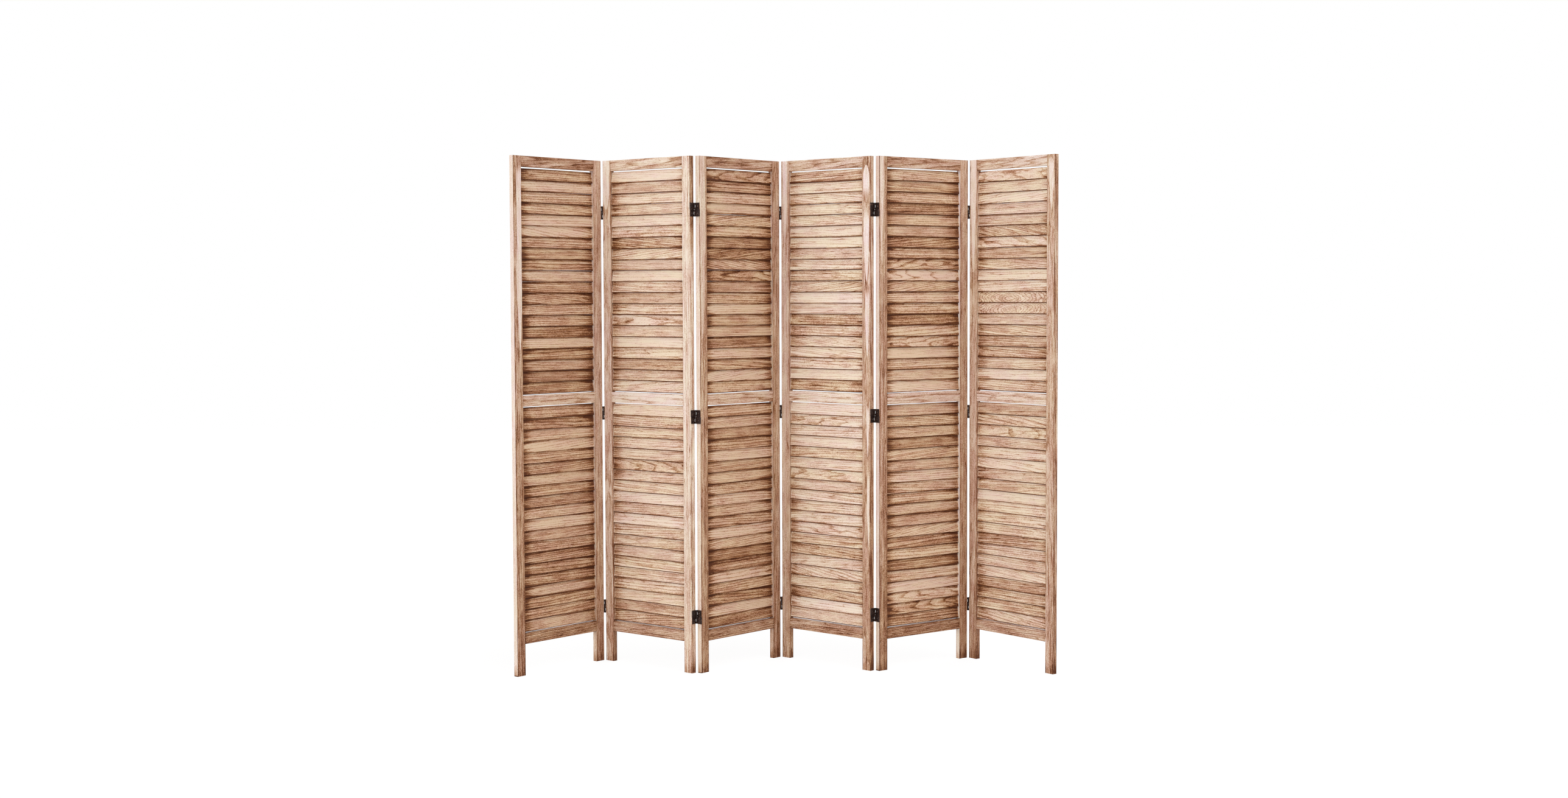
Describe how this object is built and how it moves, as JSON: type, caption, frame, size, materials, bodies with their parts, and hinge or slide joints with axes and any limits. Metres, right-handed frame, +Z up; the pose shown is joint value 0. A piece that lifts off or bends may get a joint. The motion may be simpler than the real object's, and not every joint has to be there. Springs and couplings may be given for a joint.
{
  "type": "folding slat room divider",
  "caption": "Folding wooden room divider of louvred panels with slats that turn, joined by double-action hinges and standing in a zigzag.",
  "frame": {"origin": "middle of the floor space that the zigzag covers, on the floor", "axes": "+Z up, +X to the right along the screen as the picture shows it, +Y from its front to its back"},
  "size_m": [1.7792, 0.369, 1.7],
  "materials": {
    "stile_wood": "torched pale wood with dark grain, matt",
    "rail_wood": "torched pale wood with dark grain, matt",
    "slat_wood": "torched pale wood with dark grain, matt",
    "hinge_metal": "dark brown, satin",
    "pin_metal": "dark brown, satin"
  },
  "bodies": {
    "panel_1": {"panel_1_left_stile": "stile_wood", "panel_1_right_stile": "stile_wood", "panel_1_rails": "rail_wood", "panel_1_fixed_slats": "slat_wood", "panel_1_hinge_leaves": "hinge_metal", "panel_1_hinge_links": "hinge_metal", "panel_1_hinge_pins": "pin_metal", "panel_1_hinge_screws": "pin_metal"},
    "panel_1_upper_slat": {"panel_1_upper_turning_slat": "slat_wood"},
    "panel_1_lower_slat": {"panel_1_lower_turning_slat": "slat_wood"},
    "panel_2": {"panel_2_left_stile": "stile_wood", "panel_2_right_stile": "stile_wood", "panel_2_rails": "rail_wood", "panel_2_fixed_slats": "slat_wood", "panel_2_hinge_leaves": "hinge_metal", "panel_2_hinge_links": "hinge_metal", "panel_2_hinge_pins": "pin_metal", "panel_2_hinge_screws": "pin_metal"},
    "panel_2_upper_slat": {"panel_2_upper_turning_slat": "slat_wood"},
    "panel_2_lower_slat": {"panel_2_lower_turning_slat": "slat_wood"},
    "panel_3": {"panel_3_left_stile": "stile_wood", "panel_3_right_stile": "stile_wood", "panel_3_rails": "rail_wood", "panel_3_fixed_slats": "slat_wood", "panel_3_hinge_leaves": "hinge_metal", "panel_3_hinge_links": "hinge_metal", "panel_3_hinge_pins": "pin_metal", "panel_3_hinge_screws": "pin_metal"},
    "panel_3_upper_slat": {"panel_3_upper_turning_slat": "slat_wood"},
    "panel_3_lower_slat": {"panel_3_lower_turning_slat": "slat_wood"},
    "panel_4": {"panel_4_left_stile": "stile_wood", "panel_4_right_stile": "stile_wood", "panel_4_rails": "rail_wood", "panel_4_fixed_slats": "slat_wood", "panel_4_hinge_leaves": "hinge_metal", "panel_4_hinge_links": "hinge_metal", "panel_4_hinge_pins": "pin_metal", "panel_4_hinge_screws": "pin_metal"},
    "panel_4_upper_slat": {"panel_4_upper_turning_slat": "slat_wood"},
    "panel_4_lower_slat": {"panel_4_lower_turning_slat": "slat_wood"},
    "panel_5": {"panel_5_left_stile": "stile_wood", "panel_5_right_stile": "stile_wood", "panel_5_rails": "rail_wood", "panel_5_fixed_slats": "slat_wood", "panel_5_hinge_leaves": "hinge_metal", "panel_5_hinge_links": "hinge_metal", "panel_5_hinge_pins": "pin_metal", "panel_5_hinge_screws": "pin_metal"},
    "panel_5_upper_slat": {"panel_5_upper_turning_slat": "slat_wood"},
    "panel_5_lower_slat": {"panel_5_lower_turning_slat": "slat_wood"},
    "panel_6": {"panel_6_left_stile": "stile_wood", "panel_6_right_stile": "stile_wood", "panel_6_rails": "rail_wood", "panel_6_fixed_slats": "slat_wood", "panel_6_hinge_leaves": "hinge_metal", "panel_6_hinge_links": "hinge_metal", "panel_6_hinge_pins": "pin_metal", "panel_6_hinge_screws": "pin_metal"},
    "panel_6_upper_slat": {"panel_6_upper_turning_slat": "slat_wood"},
    "panel_6_lower_slat": {"panel_6_lower_turning_slat": "slat_wood"}
  },
  "joints": [
    {"name": "fold_1", "type": "hinge", "parent": "panel_2", "child": "panel_1", "pos_m": [-0.61711, 0.11601, 0.847], "axis": [0, 0, -1], "range_deg": [-91.3, 88.7]},
    {"name": "fold_2", "type": "hinge", "parent": "panel_3", "child": "panel_2", "pos_m": [-0.29355, -0.12014, 0.847], "axis": [0, 0, 1], "range_deg": [-92, 88]},
    {"name": "fold_3", "type": "hinge", "parent": "panel_3", "child": "panel_4", "pos_m": [-0.01389, 0.16666, 0.847], "axis": [0, 0, 1], "range_deg": [-88.9, 91.1]},
    {"name": "fold_4", "type": "hinge", "parent": "panel_4", "child": "panel_5", "pos_m": [0.29643, -0.08664, 0.847], "axis": [0, 0, -1], "range_deg": [-100.2, 79.8]},
    {"name": "fold_5", "type": "hinge", "parent": "panel_5", "child": "panel_6", "pos_m": [0.62686, 0.13981, 0.847], "axis": [0, 0, 1], "range_deg": [-91.1, 88.9]},
    {"name": "turn_upper_slat_1", "type": "hinge", "parent": "panel_1", "child": "panel_1_upper_slat", "pos_m": [-0.75518, -0.02909, 1.3104], "axis": [-0.6494, -0.7604, 0], "range_deg": [0, 120]},
    {"name": "turn_lower_slat_1", "type": "hinge", "parent": "panel_1", "child": "panel_1_lower_slat", "pos_m": [-0.75518, -0.02909, 0.5299], "axis": [-0.6494, -0.7604, 0], "range_deg": [0, 120]},
    {"name": "turn_upper_slat_2", "type": "hinge", "parent": "panel_2", "child": "panel_2_upper_slat", "pos_m": [-0.45533, -0.00207, 1.3104], "axis": [-0.7749, 0.632, 0], "range_deg": [0, 120]},
    {"name": "turn_lower_slat_2", "type": "hinge", "parent": "panel_2", "child": "panel_2_lower_slat", "pos_m": [-0.45533, -0.00207, 0.5299], "axis": [-0.7749, 0.632, 0], "range_deg": [0, 120]},
    {"name": "turn_upper_slat_3", "type": "hinge", "parent": "panel_3", "child": "panel_3_upper_slat", "pos_m": [-0.15372, 0.02326, 1.3104], "axis": [-0.6587, -0.7524, 0], "range_deg": [0, 120]},
    {"name": "turn_lower_slat_3", "type": "hinge", "parent": "panel_3", "child": "panel_3_lower_slat", "pos_m": [-0.15372, 0.02326, 0.5299], "axis": [-0.6587, -0.7524, 0], "range_deg": [0, 120]},
    {"name": "turn_upper_slat_4", "type": "hinge", "parent": "panel_4", "child": "panel_4_upper_slat", "pos_m": [0.14127, 0.04001, 1.3104], "axis": [-0.7396, 0.673, 0], "range_deg": [0, 120]},
    {"name": "turn_lower_slat_4", "type": "hinge", "parent": "panel_4", "child": "panel_4_lower_slat", "pos_m": [0.14127, 0.04001, 0.5299], "axis": [-0.7396, 0.673, 0], "range_deg": [0, 120]},
    {"name": "turn_upper_slat_5", "type": "hinge", "parent": "panel_5", "child": "panel_5_upper_slat", "pos_m": [0.46164, 0.02658, 1.3104], "axis": [-0.7934, -0.6088, 0], "range_deg": [0, 120]},
    {"name": "turn_lower_slat_5", "type": "hinge", "parent": "panel_5", "child": "panel_5_lower_slat", "pos_m": [0.46164, 0.02658, 0.5299], "axis": [-0.7934, -0.6088, 0], "range_deg": [0, 120]},
    {"name": "turn_upper_slat_6", "type": "hinge", "parent": "panel_6", "child": "panel_6_upper_slat", "pos_m": [0.76004, -0.00979, 1.3104], "axis": [-0.6239, 0.7815, 0], "range_deg": [0, 120]},
    {"name": "turn_lower_slat_6", "type": "hinge", "parent": "panel_6", "child": "panel_6_lower_slat", "pos_m": [0.76004, -0.00979, 0.5299], "axis": [-0.6239, 0.7815, 0], "range_deg": [0, 120]}
  ]
}
